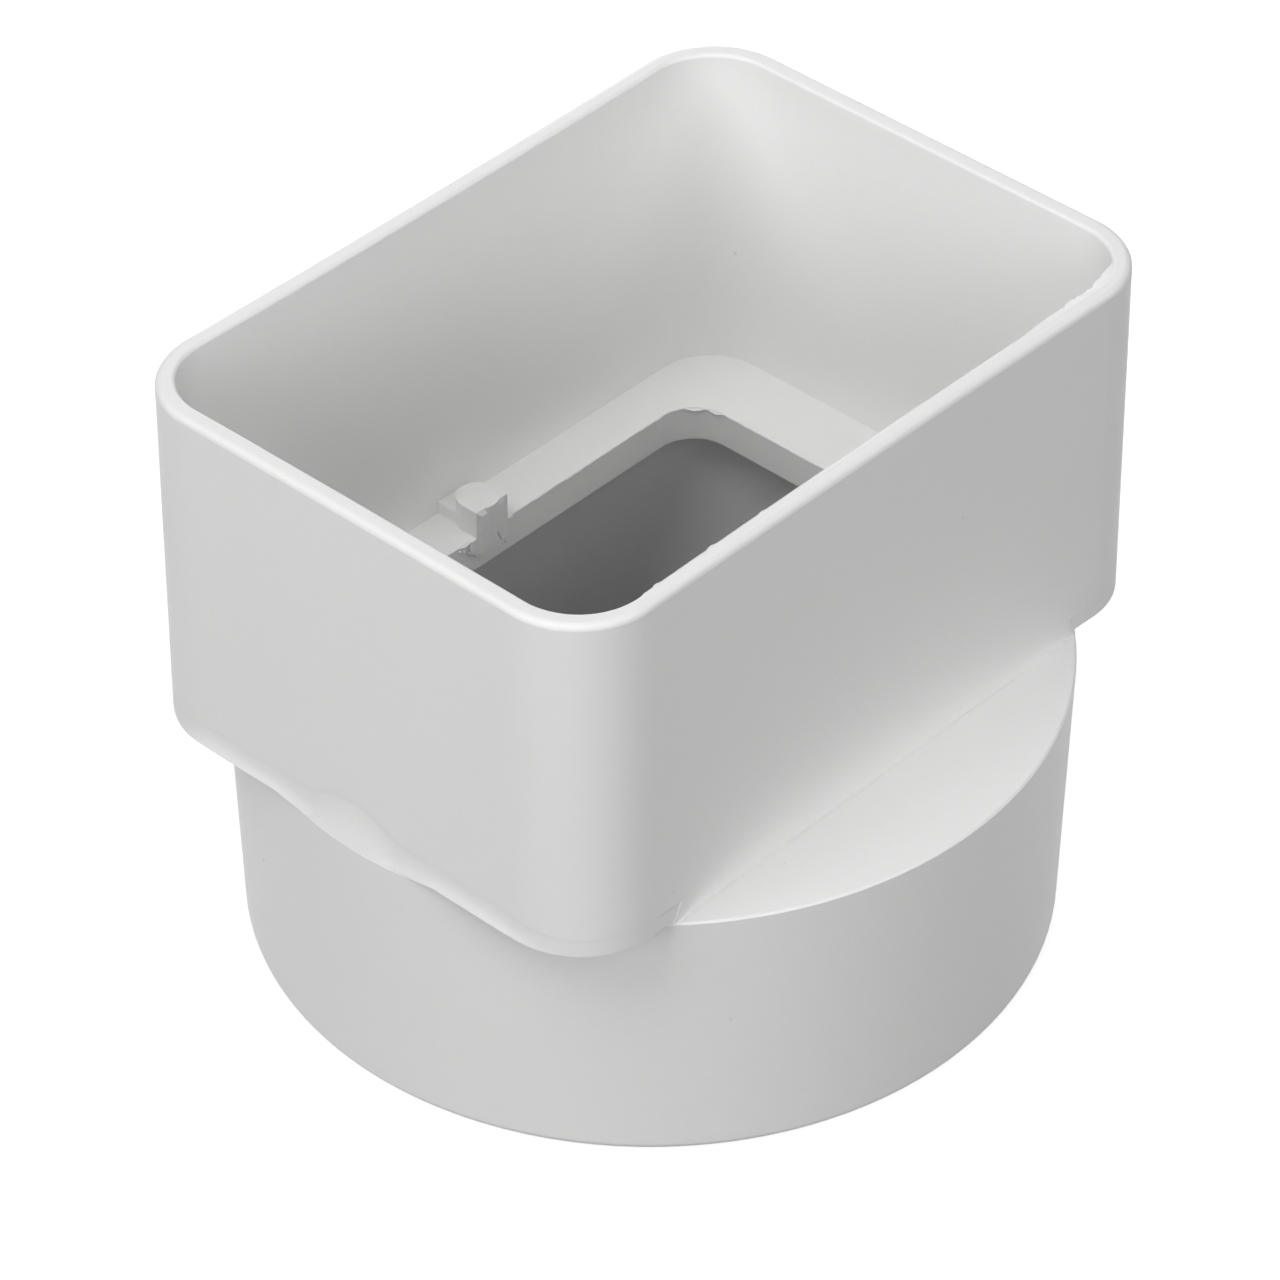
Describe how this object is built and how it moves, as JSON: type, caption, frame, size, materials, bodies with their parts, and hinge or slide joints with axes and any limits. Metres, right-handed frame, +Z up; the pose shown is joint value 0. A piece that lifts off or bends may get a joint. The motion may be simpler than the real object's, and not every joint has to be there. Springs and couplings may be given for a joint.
{
  "type": "downspout adapter",
  "caption": "One-piece plastic adapter that joins a rectangular rain downspout, set into the open box on top, to a round drain pipe in the hub below.",
  "frame": {"origin": "centre of the round hub's mouth, on the plane the part stands on", "axes": "+Z up along the hub axis towards the rectangular rim, +X along the long side of the box"},
  "size_m": [0.0886, 0.0884, 0.073],
  "materials": {
    "white_plastic": "satin moulded white plastic"
  },
  "bodies": {
    "root": {"adapter_body": "white_plastic"}
  },
  "joints": []
}
